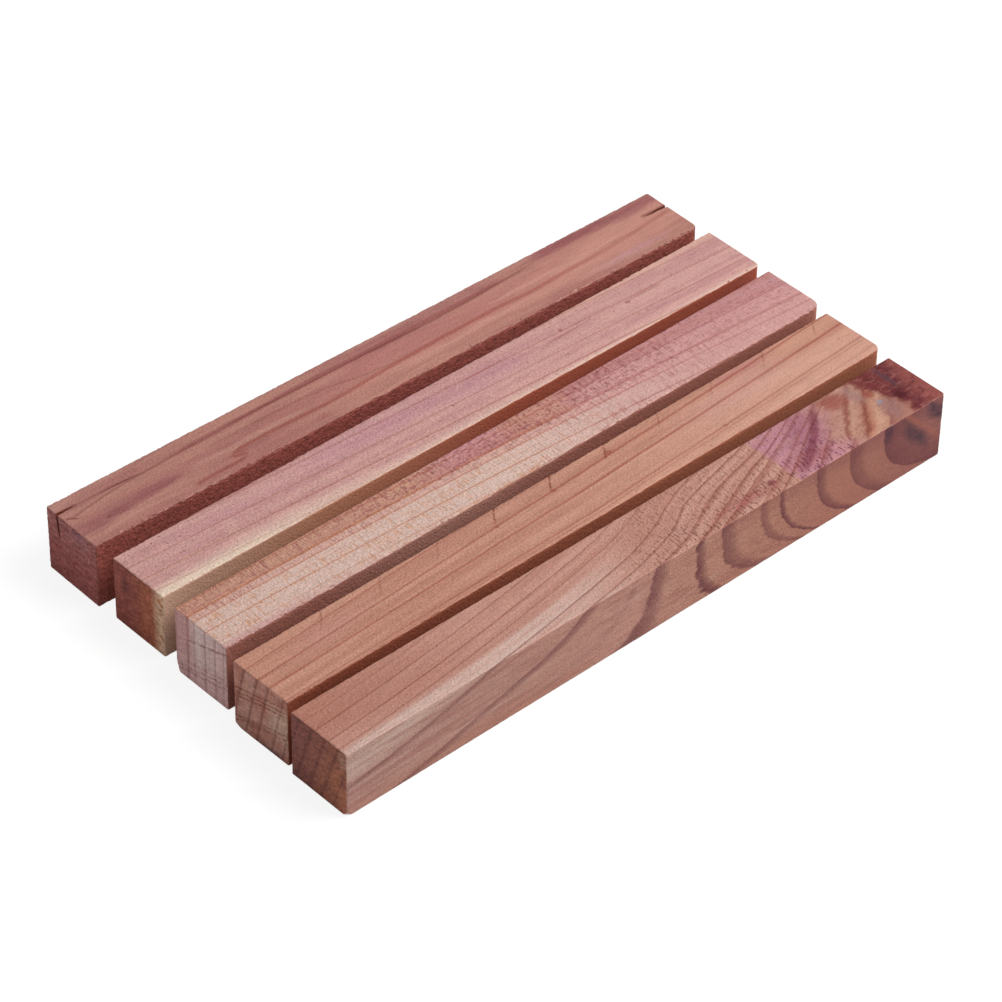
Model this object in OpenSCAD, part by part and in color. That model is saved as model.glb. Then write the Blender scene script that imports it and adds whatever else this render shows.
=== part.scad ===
// A row of loose cedar blocks, laid side by side on a flat surface.
// +X runs along the middle block to the right, +Y to the back, +Z up.
// The origin is the centre of the underside of the middle block.

/* [Block sizes] */
// Length of each block
block_length = 200; // [120:1:300]
// Width of the back block, across the row
back_width = 20.2; // [14:0.1:30]
// Height of the back block
back_height = 19.6; // [14:0.1:30]
// Width of the rear middle block
rear_middle_width = 19.4; // [14:0.1:30]
// Height of the rear middle block
rear_middle_height = 19.5; // [14:0.1:30]
// Width of the middle block
middle_width = 19.5; // [14:0.1:30]
// Height of the middle block
middle_height = 20.1; // [14:0.1:30]
// Width of the front middle block
front_middle_width = 19.8; // [14:0.1:30]
// Height of the front middle block
front_middle_height = 20.4; // [14:0.1:30]
// Width of the front block
front_width = 19.9; // [14:0.1:30]
// Height of the front block
front_height = 19.9; // [14:0.1:30]

/* [Eased edges] */
// Radius that every edge of a block is sanded to
edge_radius = 0.3; // [0.1:0.1:1.2]
// Right front upright edge of the back block
back_corner_radius = 2.2; // [0.4:0.1:5]
// Right front upright edge of the rear middle block
rear_middle_corner_radius = 1.8; // [0.4:0.1:5]
// Right front upright edge of the middle block
middle_corner_radius = 3; // [0.4:0.1:5]
// Right front upright edge of the front middle block
front_middle_corner_radius = 2.5; // [0.4:0.1:5]
// Right front upright edge of the front block
front_corner_radius = 0.8; // [0.4:0.1:5]

/* [Worn lower corners] */
// How far the worn corner runs along the middle block, at the left, low at the back
middle_toe_along = 2; // [0.5:0.1:5]
// How far it runs across
middle_toe_across = 1.3; // [0.5:0.1:5]
// How far it runs up
middle_toe_up = 4; // [0.5:0.1:5]
// How far the worn corner runs along the front middle block, at the left, low at the back
front_middle_toe_along = 2; // [0.5:0.1:5]
// How far it runs across
front_middle_toe_across = 3; // [0.5:0.1:5]
// How far it runs up
front_middle_toe_up = 1.2; // [0.5:0.1:5]
// How far the worn corner runs along the front block, at the left, low at the front
front_toe_along = 1.8; // [0.5:0.1:5]
// How far it runs across
front_toe_across = 1.6; // [0.5:0.1:5]
// How far it runs up
front_toe_up = 1.8; // [0.5:0.1:5]

/* [Gaps in the row] */
// Gap from the back block to the rear middle block, at the left end
back_gap_left = 5.5; // [0.5:0.1:12]
// The same gap at the right end
back_gap_right = 3.1; // [0.5:0.1:12]
// Gap from the rear middle block to the middle block, at the left end
rear_gap_left = 5.1; // [0.5:0.1:12]
// The same gap at the right end
rear_gap_right = 3.6; // [0.5:0.1:12]
// Gap from the middle block to the front middle block, at the left end
front_gap_left = 4.4; // [0.5:0.1:12]
// The same gap at the right end
front_gap_right = 3.3; // [0.5:0.1:12]
// Gap from the front middle block to the front block, at the left end
outer_gap_left = 2.2; // [0.5:0.1:12]
// The same gap at the right end
outer_gap_right = 3.3; // [0.5:0.1:12]

/* [Steps at the ends] */
// How far right of the middle block the back block lies
back_step = 0.4; // [-10:0.1:10]
// How far right of the middle block the rear middle block lies
rear_middle_step = 0.8; // [-10:0.1:10]
// How far right of the middle block the front middle block lies
front_middle_step = -1.8; // [-10:0.1:10]
// How far right of the middle block the front block lies
front_step = -2.8; // [-10:0.1:10]

/* [Drying cracks of the back block] */
// Length of the crack in the left end
left_crack_length = 5; // [2:0.5:15]
// Width of its mouth
left_crack_width = 0.8; // [0.3:0.1:1.5]
// How far it runs down the end face
left_crack_depth = 7; // [2:0.5:12]
// Distance from the back face to its middle
left_crack_inset = 4.4; // [2:0.1:10]
// Length of the crack in the right end
right_crack_length = 7.5; // [2:0.5:15]
// Width of its mouth
right_crack_width = 0.9; // [0.3:0.1:1.5]
// How far it runs down the end face
right_crack_depth = 6; // [2:0.5:12]
// Distance from the back face to its middle
right_crack_inset = 7.9; // [2:0.1:10]

/* [Hidden] */

$fn = 48;

// How far a cut runs past the face that it opens
overcut = 1;

// The blocks' sizes: along, across and up
back_size = [block_length, back_width, back_height];
rear_middle_size = [block_length, rear_middle_width, rear_middle_height];
middle_size = [block_length, middle_width, middle_height];
front_middle_size = [block_length, front_middle_width, front_middle_height];
front_size = [block_length, front_width, front_height];

// Slopes of the blocks' long faces in plan, counted from the middle block outwards
rear_middle_slope = (rear_gap_right - rear_gap_left) / block_length;
back_slope = rear_middle_slope + (back_gap_right - back_gap_left) / block_length;
front_middle_slope = (front_gap_left - front_gap_right) / block_length;
front_slope = front_middle_slope + (outer_gap_left - outer_gap_right) / block_length;

// Distances of the blocks' middles from the middle block
rear_middle_y = half_across(middle_size, 0)
    + mean(rear_gap_left, rear_gap_right)
    + half_across(rear_middle_size, rear_middle_slope);
back_y = rear_middle_y
    + half_across(rear_middle_size, rear_middle_slope)
    + mean(back_gap_left, back_gap_right)
    + half_across(back_size, back_slope);
front_middle_y = -half_across(middle_size, 0)
    - mean(front_gap_left, front_gap_right)
    - half_across(front_middle_size, front_middle_slope);
front_y = front_middle_y
    - half_across(front_middle_size, front_middle_slope)
    - mean(outer_gap_left, outer_gap_right)
    - half_across(front_size, front_slope);

function mean(a, b) = (a + b) / 2;

// Half of a block's width, measured straight across the row
function half_across(size, slope) = size.y / 2 * sqrt(1 + slope * slope);

// What rounding takes off a corner: the arc is centred on the origin
module shaving(radius) {
    difference() {
        square(radius + overcut);
        circle(radius);
    }
}

// A centred rectangle with rounded corners; the corner at +X -Y has a radius of its own
module eased_rectangle(size, radius, marked_radius) {
    difference() {
        square(size, center = true);
        for (corner = [[1, 1], [-1, 1], [-1, -1], [1, -1]]) {
            corner_radius = corner == [1, -1] ? marked_radius : radius;
            mirror([corner.x < 0 ? 1 : 0, 0])
                mirror([0, corner.y < 0 ? 1 : 0])
                    translate(size / 2 - [corner_radius, corner_radius])
                        shaving(corner_radius);
        }
    }
}

// One sawn block, centred on the origin and standing on it, with all its edges eased
module eased_block(size, corner_radius) {
    intersection() {
        linear_extrude(size.z)
            eased_rectangle([size.x, size.y], edge_radius, corner_radius);
        translate([0, 0, size.z / 2])
            rotate([90, 0, 90])
                linear_extrude(size.x, center = true)
                    eased_rectangle([size.y, size.z], edge_radius, edge_radius);
        translate([0, 0, size.z / 2])
            rotate([90, 0, 0])
                linear_extrude(size.y, center = true)
                    eased_rectangle([size.x, size.z], edge_radius, edge_radius);
    }
}

// What wear takes off the lower left corner, at the front with side = -1, at the back with side = 1
module worn_toe(size, legs, side) {
    normal = [1 / legs.x, 1 / legs.y, 1 / legs.z];
    slab = 2 * max(legs);
    translate([-size.x / 2, side * size.y / 2, 0])
        mirror([0, side > 0 ? 1 : 0, 0])
            rotate([0, acos(normal.z / norm(normal)), atan2(normal.y, normal.x)])
                translate([0, 0, 1 / norm(normal) - slab])
                    linear_extrude(slab)
                        square(2 * slab, center = true);
}

// A crack in an end: open at the top and at the end face, closing to nothing inside the block
module end_crack(size, length, width, depth, inset, end) {
    mouth = width / 2 * (length + overcut) / length;
    translate([0, size.y / 2 - inset, size.z - depth])
        mirror([end > 0 ? 1 : 0, 0, 0])
            translate([-size.x / 2, 0, 0])
                linear_extrude(depth + overcut)
                    polygon([[-overcut, -mouth], [length, 0], [-overcut, mouth]]);
}

// Puts a block in its place in the row
module lay(step, y, slope) {
    translate([step, y, 0])
        rotate(atan(slope))
            children();
}

module back_block() {
    color("rosybrown")
        lay(back_step, back_y, back_slope)
            difference() {
                eased_block(back_size, back_corner_radius);
                end_crack(
                    back_size, left_crack_length, left_crack_width, left_crack_depth, left_crack_inset, -1
                );
                end_crack(
                    back_size, right_crack_length, right_crack_width, right_crack_depth, right_crack_inset, 1
                );
            }
}

module rear_middle_block() {
    color("pink")
        lay(rear_middle_step, rear_middle_y, rear_middle_slope)
            eased_block(rear_middle_size, rear_middle_corner_radius);
}

module middle_block() {
    color("antiquewhite")
        difference() {
            eased_block(middle_size, middle_corner_radius);
            worn_toe(middle_size, [middle_toe_along, middle_toe_across, middle_toe_up], 1);
        }
}

module front_middle_block() {
    legs = [front_middle_toe_along, front_middle_toe_across, front_middle_toe_up];
    color("burlywood")
        lay(front_middle_step, front_middle_y, front_middle_slope)
            difference() {
                eased_block(front_middle_size, front_middle_corner_radius);
                worn_toe(front_middle_size, legs, 1);
            }
}

module front_block() {
    color("darksalmon")
        lay(front_step, front_y, front_slope)
            difference() {
                eased_block(front_size, front_corner_radius);
                worn_toe(front_size, [front_toe_along, front_toe_across, front_toe_up], -1);
            }
}

back_block();
rear_middle_block();
middle_block();
front_middle_block();
front_block();
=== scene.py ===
"""The looks of a row of loose cedar blocks: sawn wood with rings, sapwood, saw marks, cracks and a knot."""
import functools
import math

import bpy
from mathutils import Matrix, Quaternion, Vector


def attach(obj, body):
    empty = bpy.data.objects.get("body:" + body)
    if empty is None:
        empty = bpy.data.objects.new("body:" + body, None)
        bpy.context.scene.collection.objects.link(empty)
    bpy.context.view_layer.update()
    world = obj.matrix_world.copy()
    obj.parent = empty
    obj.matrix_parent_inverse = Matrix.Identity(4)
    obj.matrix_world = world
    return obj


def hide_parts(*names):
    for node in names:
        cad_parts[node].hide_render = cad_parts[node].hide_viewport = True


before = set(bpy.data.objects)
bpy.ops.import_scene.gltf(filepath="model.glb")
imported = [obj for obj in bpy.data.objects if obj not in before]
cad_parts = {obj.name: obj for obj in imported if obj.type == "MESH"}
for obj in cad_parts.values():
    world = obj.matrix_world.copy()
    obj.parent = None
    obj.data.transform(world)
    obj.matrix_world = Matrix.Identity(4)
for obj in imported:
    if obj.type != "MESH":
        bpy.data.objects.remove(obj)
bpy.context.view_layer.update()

# One millimetre, in the scene's metres
MM = 0.001


# Fields: numbers and colours that vary over a piece

def feed(tree, entry, value):
    """Gives a node's input a value: a constant, or what another node works out."""
    if isinstance(value, Field):
        tree.links.new(value.socket, entry)
    else:
        entry.default_value = value


class Field:
    """What one socket gives, with arithmetic that adds the nodes it needs."""

    def __init__(self, tree, socket):
        self.tree = tree
        self.socket = socket

    def math(self, operation, *others):
        node = self.tree.nodes.new("ShaderNodeMath")
        node.operation = operation
        for entry, value in zip(node.inputs, (self, *others)):
            feed(self.tree, entry, value)
        return Field(self.tree, node.outputs[0])

    def __add__(self, other):
        return self.math("ADD", other)

    def __sub__(self, other):
        return self.math("SUBTRACT", other)

    def __mul__(self, other):
        return self.math("MULTIPLY", other)

    def __truediv__(self, other):
        return self.math("DIVIDE", other)

    def __pow__(self, other):
        return self.math("POWER", other)

    def __neg__(self):
        return self.math("MULTIPLY", -1.0)

    __radd__ = __add__
    __rmul__ = __mul__

    def __rsub__(self, other):
        return -self + other

    def above(self, other):
        return self.math("MAXIMUM", other)

    def below(self, other):
        return self.math("MINIMUM", other)

    def size(self):
        return self.math("ABSOLUTE")

    def fade(self, start, end):
        """0 up to start and 1 from end on, or the other way round if end is the smaller."""
        node = self.tree.nodes.new("ShaderNodeMapRange")
        node.interpolation_type = "SMOOTHSTEP"
        feed(self.tree, node.inputs["Value"], self)
        feed(self.tree, node.inputs["From Min"], start)
        feed(self.tree, node.inputs["From Max"], end)
        return Field(self.tree, node.outputs["Result"])

    def near(self, place, reach):
        """1 at a place and 0 from reach away on."""
        return (self - place).size().fade(reach, 0.0)

    def between(self, start, end, soft):
        """1 between two places, with soft ends."""
        return self.fade(start - soft, start + soft) * self.fade(end + soft, end - soft)


def vector(x, y, z):
    """Three numbers as a place; at least one of them is a field."""
    tree = next(value.tree for value in (x, y, z) if isinstance(value, Field))
    node = tree.nodes.new("ShaderNodeCombineXYZ")
    for entry, value in zip(node.inputs, (x, y, z)):
        feed(tree, entry, value)
    return Field(tree, node.outputs[0])


def parts(place):
    """The three numbers of a place."""
    node = place.tree.nodes.new("ShaderNodeSeparateXYZ")
    feed(place.tree, node.inputs[0], place)
    return [Field(place.tree, socket) for socket in node.outputs]


def noise(place, seed, detail=2.0, roughness=0.5):
    """Smooth random values from 0 to 1, the same at every run."""
    node = place.tree.nodes.new("ShaderNodeTexNoise")
    node.noise_dimensions = "4D"
    feed(place.tree, node.inputs["Vector"], place)
    node.inputs["W"].default_value = seed
    node.inputs["Scale"].default_value = 1.0
    node.inputs["Detail"].default_value = detail
    node.inputs["Roughness"].default_value = roughness
    return Field(place.tree, node.outputs["Fac"])


def course(value, points):
    """A smooth curve through given points: its height where the value is."""
    (left, _), (right, _) = points[0], points[-1]
    low = min(height for _, height in points)
    tall = max(max(height for _, height in points) - low, 0.01)
    node = value.tree.nodes.new("ShaderNodeFloatCurve")
    feed(value.tree, node.inputs["Value"], ((value - left) / (right - left)).above(0.0).below(1.0))
    spots = node.mapping.curves[0].points
    for _ in points[2:]:
        spots.new(0.5, 0.5)
    for spot, (place, height) in zip(spots, points):
        spot.location = ((place - left) / (right - left), (height - low) / tall)
    node.mapping.update()
    return Field(value.tree, node.outputs[0]) * tall + low


def paint(red, green, blue):
    """A colour as it is seen, each part from 0 to 255, in the scene's linear light."""
    def linear(part):
        share = part / 255
        return share / 12.92 if share <= 0.04045 else ((share + 0.055) / 1.055) ** 2.4
    return (linear(red), linear(green), linear(blue), 1.0)


def mix(share, under, over):
    """Lays one colour over another, where share says how much."""
    node = share.tree.nodes.new("ShaderNodeMix")
    node.data_type = "RGBA"
    feed(share.tree, node.inputs["Factor"], share)
    feed(share.tree, node.inputs[6], under)
    feed(share.tree, node.inputs[7], over)
    return Field(share.tree, node.outputs[2])


def stain(colour, share, *seen):
    """Lays a colour, given as it is seen, over another, where share says how much."""
    return mix(share, colour, paint(*seen))


def shade(colour, strength):
    """Makes a colour darker or lighter by a factor that varies."""
    node = colour.tree.nodes.new("ShaderNodeVectorMath")
    node.operation = "SCALE"
    feed(colour.tree, node.inputs[0], colour)
    feed(colour.tree, node.inputs["Scale"], strength)
    return Field(colour.tree, node.outputs[0])


def tones(value, stops):
    """Runs through colours as a value grows: stops are (value, colour) in rising order."""
    first, last = stops[0][0], stops[-1][0]
    node = value.tree.nodes.new("ShaderNodeValToRGB")
    feed(value.tree, node.inputs[0], (value - first) / (last - first))
    ramp = node.color_ramp
    for _ in stops[2:]:
        ramp.elements.new(0.5)
    for element, (place, colour) in zip(ramp.elements, stops):
        element.position = (place - first) / (last - first)
        element.color = colour
    return Field(value.tree, node.outputs["Color"])


def strongest(*shares):
    """The greatest of several shares."""
    return functools.reduce(Field.above, shares)


# A colour ramp holds 32 stops and a band takes 4 of them
BANDS_IN_A_RAMP = 7
# How far before its place a band starts
BAND_RISE = 0.12


def bands(value, marks):
    """Bands across a value. Each mark is (place, width, strength): it starts sharply at its
    place and fades slowly over its width, to the smaller side if the width is negative."""
    ramps = []
    for start in range(0, len(marks), BANDS_IN_A_RAMP):
        stops = []
        for place, width, strength in marks[start:start + BANDS_IN_A_RAMP]:
            stops += sorted([
                (place - math.copysign(BAND_RISE, width), 0.0),
                (place, strength),
                (place + width * 0.55, strength * 0.65),
                (place + width, 0.0),
            ])
        ramps.append(tones(value, [(place, (level, level, level, 1.0)) for place, level in stops]))
    return strongest(*ramps)


# The blocks' shape

# Cells of the mesh along a block and across it
CELL_ALONG, CELL_ACROSS = 0.55, 0.5
# How much closer the cells lie at the edges than in the middle
CROWDING = 0.75
EDGE_RADIUS = 0.5
# How far from a long top edge its fibres start to be torn, and how far from it they are torn most
TEAR_REACH, TEAR_CORE = 1.2, 0.15
# How deep the slow waves of the sawn faces are, and the pits of a face that isn't rough
WAVE_DEPTH, PIT_DEPTH = 0.12, 0.03
# Two faces that meet at this angle or more have a sharp edge in the shading
SHARP_ANGLE = math.radians(40)
# Vertices of a crack's wedge inwards, sideways and down, and the width of its thin end
CRACK_VERTICES = (16, 2, 9)
CRACK_END = 0.03
# How far the wedge runs past the faces that it opens, and how far it sways
CRACK_OUTSIDE, CRACK_SWAY = 1.0, 0.8


def wedge(tree, half, end, crack):
    """A closed wedge that leaves a drying crack when it is cut from one end of the block."""
    length, width, depth = parts(crack["size"])
    cube = tree.nodes.new("GeometryNodeMeshCube")
    cube.inputs["Size"].default_value = (1, 1, 1)
    for name, count in zip("XYZ", CRACK_VERTICES):
        cube.inputs["Vertices " + name].default_value = count
    along, side, up = parts(Field(tree, tree.nodes.new("GeometryNodeInputPosition").outputs[0]))
    inward = (along + 0.5) * (length + CRACK_OUTSIDE) - CRACK_OUTSIDE
    sunk = 0.5 - up
    left = (1.0 - inward.above(0.0) / length).above(0.0)
    gap = width * (left ** 0.5) * ((1.0 - sunk) ** 0.5) + CRACK_END
    down = sunk * (depth * (left ** 0.6) + CRACK_OUTSIDE) - CRACK_OUTSIDE
    sway = (noise(vector(inward * 0.45, down * 0.3, 0.0), crack["seed"]) - 0.5) * CRACK_SWAY
    x = (half[0] - inward) * end
    y = half[1] - crack["inset"] - side * gap * end - sway - down * crack["slant"]
    return moved(tree, cube.outputs["Mesh"], vector(x, y, half[2] - down))


def moved(tree, geometry, position=None, offset=None):
    """Puts the points of a geometry somewhere else."""
    node = tree.nodes.new("GeometryNodeSetPosition")
    tree.links.new(geometry, node.inputs["Geometry"])
    if position is not None:
        feed(tree, node.inputs["Position"], position)
    if offset is not None:
        feed(tree, node.inputs["Offset"], offset)
    return node.outputs[0]


def crowd(place, half, strength):
    """Draws the cells of the mesh towards the edges."""
    return place + (place / half * math.pi).math("SINE") * half * (strength / math.pi)


def rounded_upright(tree, block, position, half, radius, end, side):
    """Rounds one upright edge: the squares round the middle of its arc become circles."""
    x, y, _ = position()
    out_x = (x * end - half[0] + radius).above(0.0)
    out_y = (y * side - half[1] + radius).above(0.0)
    ring = (out_x * out_x + out_y * out_y).math("SQRT").above(1e-6)
    pull = out_x.above(out_y) / ring - 1.0
    pull = pull * radius.fade(0.0, 0.1)
    return moved(tree, block, offset=vector(out_x * pull * end, out_y * pull * side, 0.0))


def block_tree():
    """The node tree of one sawn block, in millimetres until its last step."""
    tree = bpy.data.node_groups.new("cedar block", "GeometryNodeTree")
    sockets = {
        "Size": "NodeSocketVector",
        "Right front radius": "NodeSocketFloat",
        "Left back radius": "NodeSocketFloat",
        "Toe": "NodeSocketVector",
        "Toe side": "NodeSocketFloat",
        "Torn front": "NodeSocketFloat",
        "Torn back": "NodeSocketFloat",
        "Rough sides": "NodeSocketFloat",
        "Cracked": "NodeSocketBool",
        "Left crack": "NodeSocketVector",
        "Left crack inset": "NodeSocketFloat",
        "Right crack": "NodeSocketVector",
        "Right crack inset": "NodeSocketFloat",
        "Seed": "NodeSocketFloat",
        "Centre": "NodeSocketVector",
        "Turn": "NodeSocketFloat",
        "Wood": "NodeSocketMaterial",
    }
    for name, kind in sockets.items():
        tree.interface.new_socket(name, in_out="INPUT", socket_type=kind)
    tree.interface.new_socket("Block", in_out="OUTPUT", socket_type="NodeSocketGeometry")
    given = tree.nodes.new("NodeGroupInput").outputs

    def value(name):
        return Field(tree, given[name])

    def position():
        return parts(Field(tree, tree.nodes.new("GeometryNodeInputPosition").outputs[0]))

    size = parts(value("Size"))
    half = [side * 0.5 for side in size]

    cube = tree.nodes.new("GeometryNodeMeshCube")
    feed(tree, cube.inputs["Size"], value("Size"))
    for name, side, cell in zip("XYZ", size, (CELL_ALONG, CELL_ACROSS, CELL_ACROSS)):
        count = tree.nodes.new("FunctionNodeFloatToInt")
        feed(tree, count.inputs[0], side / cell)
        tree.links.new(count.outputs[0], cube.inputs["Vertices " + name])
    block = cube.outputs["Mesh"]

    # Every edge is eased: a point moves onto the arc round the nearest point of the core
    spots = [crowd(p, h, CROWDING) for p, h in zip(position(), half)]
    core = [p.above(EDGE_RADIUS - h).below(h - EDGE_RADIUS) for p, h in zip(spots, half)]
    reach = [p - c for p, c in zip(spots, core)]
    length = (reach[0] * reach[0] + reach[1] * reach[1] + reach[2] * reach[2]).math("SQRT")
    eased = [c + r / length * EDGE_RADIUS for c, r in zip(core, reach)]
    block = moved(tree, block, vector(*eased))

    # Two upright edges are rounder
    block = rounded_upright(tree, block, position, half, value("Right front radius"), 1.0, -1.0)
    block = rounded_upright(tree, block, position, half, value("Left back radius"), -1.0, 1.0)

    # A lower left corner is worn to a soft facet
    x, y, z = position()
    side = value("Toe side")
    legs = parts(value("Toe"))
    from_corner = (half[0] + x) / legs[0] + (half[1] - side * y) / legs[1] + (half[2] + z) / legs[2]
    worn = (from_corner.math("SMOOTH_MAX", 1.0, 0.3) - from_corner) / 3.0
    block = moved(tree, block, offset=vector(worn * legs[0], -(side * worn * legs[1]), worn * legs[2]))

    # Torn fibres break the long top edges, in ragged stretches
    x, y, z = position()
    seed = value("Seed")
    for depth, front in ((value("Torn front"), -1.0), (value("Torn back"), 1.0)):
        off_edge = half[1] - y * front
        under_top = half[2] - z
        near = (off_edge * off_edge + under_top * under_top).math("SQRT").fade(TEAR_REACH, TEAR_CORE)
        stretch = noise(vector(x * 0.08, seed, front), 1.0, 2.0).fade(0.36, 0.62)
        shreds = noise(vector(x * 0.8, seed + off_edge * 0.9, front), 2.0, 4.0, 0.7).fade(0.4, 0.66)
        bite = depth * near * (0.2 + stretch * 0.8) * shreds
        block = moved(tree, block, offset=vector(0.0, bite * (-front * 0.7), bite * -0.7))

    # The faces are sawn, so the whole surface is a little uneven, the sides the most
    x, y, z = position()
    normal = Field(tree, tree.nodes.new("GeometryNodeInputNormal").outputs[0])
    upright = parts(normal)[1].size()
    waves = noise(vector(x * 0.03, y * 0.1 + seed, z * 0.1), 3.0) * WAVE_DEPTH
    pits = noise(vector(x * 0.9, y * 0.9 + seed, z * 1.4), 4.0, 3.0, 0.65).fade(0.42, 0.72)
    sunk = waves + pits * (PIT_DEPTH + upright * value("Rough sides"))
    push = tree.nodes.new("ShaderNodeVectorMath")
    push.operation = "SCALE"
    feed(tree, push.inputs[0], normal)
    feed(tree, push.inputs["Scale"], -sunk)
    block = moved(tree, block, offset=Field(tree, push.outputs[0]))

    # Drying cracks open the two ends of the block that has them
    cut = tree.nodes.new("GeometryNodeMeshBoolean")
    cut.operation = "DIFFERENCE"
    cut.solver = "EXACT"
    tree.links.new(block, cut.inputs["Mesh 1"])
    for end, name, slant in ((1.0, "Right crack", 0.0), (-1.0, "Left crack", 0.16)):
        crack = {"size": value(name), "inset": value(name + " inset"), "seed": 5.0 + end, "slant": slant}
        tree.links.new(wedge(tree, half, end, crack), cut.inputs["Mesh 2"])
    choice = tree.nodes.new("GeometryNodeSwitch")
    feed(tree, choice.inputs["Switch"], value("Cracked"))
    tree.links.new(block, choice.inputs["False"])
    tree.links.new(cut.outputs["Mesh"], choice.inputs["True"])

    # Only real edges, such as a crack's lips, stay sharp in the shading
    angle = Field(tree, tree.nodes.new("GeometryNodeInputMeshEdgeAngle").outputs[0])
    sharp = tree.nodes.new("FunctionNodeCompare")
    sharp.operation = "LESS_THAN"
    feed(tree, sharp.inputs["A"], angle)
    sharp.inputs["B"].default_value = SHARP_ANGLE
    faces = tree.nodes.new("GeometryNodeSetShadeSmooth")
    tree.links.new(choice.outputs[0], faces.inputs["Geometry"])
    edges = tree.nodes.new("GeometryNodeSetShadeSmooth")
    edges.domain = "EDGE"
    tree.links.new(faces.outputs[0], edges.inputs["Geometry"])
    tree.links.new(sharp.outputs[0], edges.inputs["Shade Smooth"])

    place = tree.nodes.new("GeometryNodeTransform")
    tree.links.new(edges.outputs[0], place.inputs["Geometry"])
    feed(tree, place.inputs["Translation"], value("Centre"))
    feed(tree, place.inputs["Rotation"], vector(0.0, 0.0, value("Turn")))
    place.inputs["Scale"].default_value = (MM, MM, MM)
    whole = tree.nodes.new("GeometryNodeRealizeInstances")
    tree.links.new(place.outputs[0], whole.inputs["Geometry"])
    finish = tree.nodes.new("GeometryNodeSetMaterial")
    tree.links.new(whole.outputs[0], finish.inputs["Geometry"])
    tree.links.new(given["Wood"], finish.inputs["Material"])
    result = tree.nodes.new("NodeGroupOutput")
    tree.links.new(finish.outputs[0], result.inputs["Block"])
    return tree


class Place:
    """Where a CAD block lies: its size, the middle of it and how far it is turned."""

    def __init__(self, node):
        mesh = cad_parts[node].data
        front = max((p for p in mesh.polygons if p.normal.y < -0.9), key=lambda p: p.area)
        self.turn = math.atan2(front.normal.x, -front.normal.y)
        unturn = Quaternion((0, 0, 1), -self.turn)
        spots = [unturn @ vertex.co for vertex in mesh.vertices]
        low = Vector([min(spot[axis] for spot in spots) for axis in range(3)])
        high = Vector([max(spot[axis] for spot in spots) for axis in range(3)])
        self.size = high - low
        self.centre = Quaternion((0, 0, 1), self.turn) @ ((low + high) / 2)

    def corner(self):
        """The corner that is left, back and at the top, in metres."""
        local = Vector((-self.size.x, self.size.y, self.size.z)) / 2
        return self.centre + Quaternion((0, 0, 1), self.turn) @ local


def make_block(tree, node, body, wood, place, **shape):
    """Makes the piece that stands for a CAD block, as a plain mesh with its place in it."""
    piece = bpy.data.objects.new(node + "_wood", bpy.data.meshes.new(node + "_wood"))
    bpy.context.scene.collection.objects.link(piece)
    modifier = piece.modifiers.new("shape", "NODES")
    modifier.node_group = tree
    given = {
        "Size": place.size / MM,
        "Centre": place.centre,
        "Turn": place.turn,
        "Wood": wood,
        **shape,
    }
    for item in tree.interface.items_tree:
        if item.in_out == "INPUT" and item.name in given:
            modifier[item.identifier] = given[item.name]
    bpy.context.view_layer.update()
    made = piece.evaluated_get(bpy.context.evaluated_depsgraph_get())
    mesh = bpy.data.meshes.new_from_object(made)
    piece.modifiers.remove(modifier)
    piece.data = mesh
    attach(piece, body)
    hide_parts(node)


# The wood

# Dry sawn wood is dull
WOOD_ROUGHNESS, WOOD_SHINE = 0.8, 0.12


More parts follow.
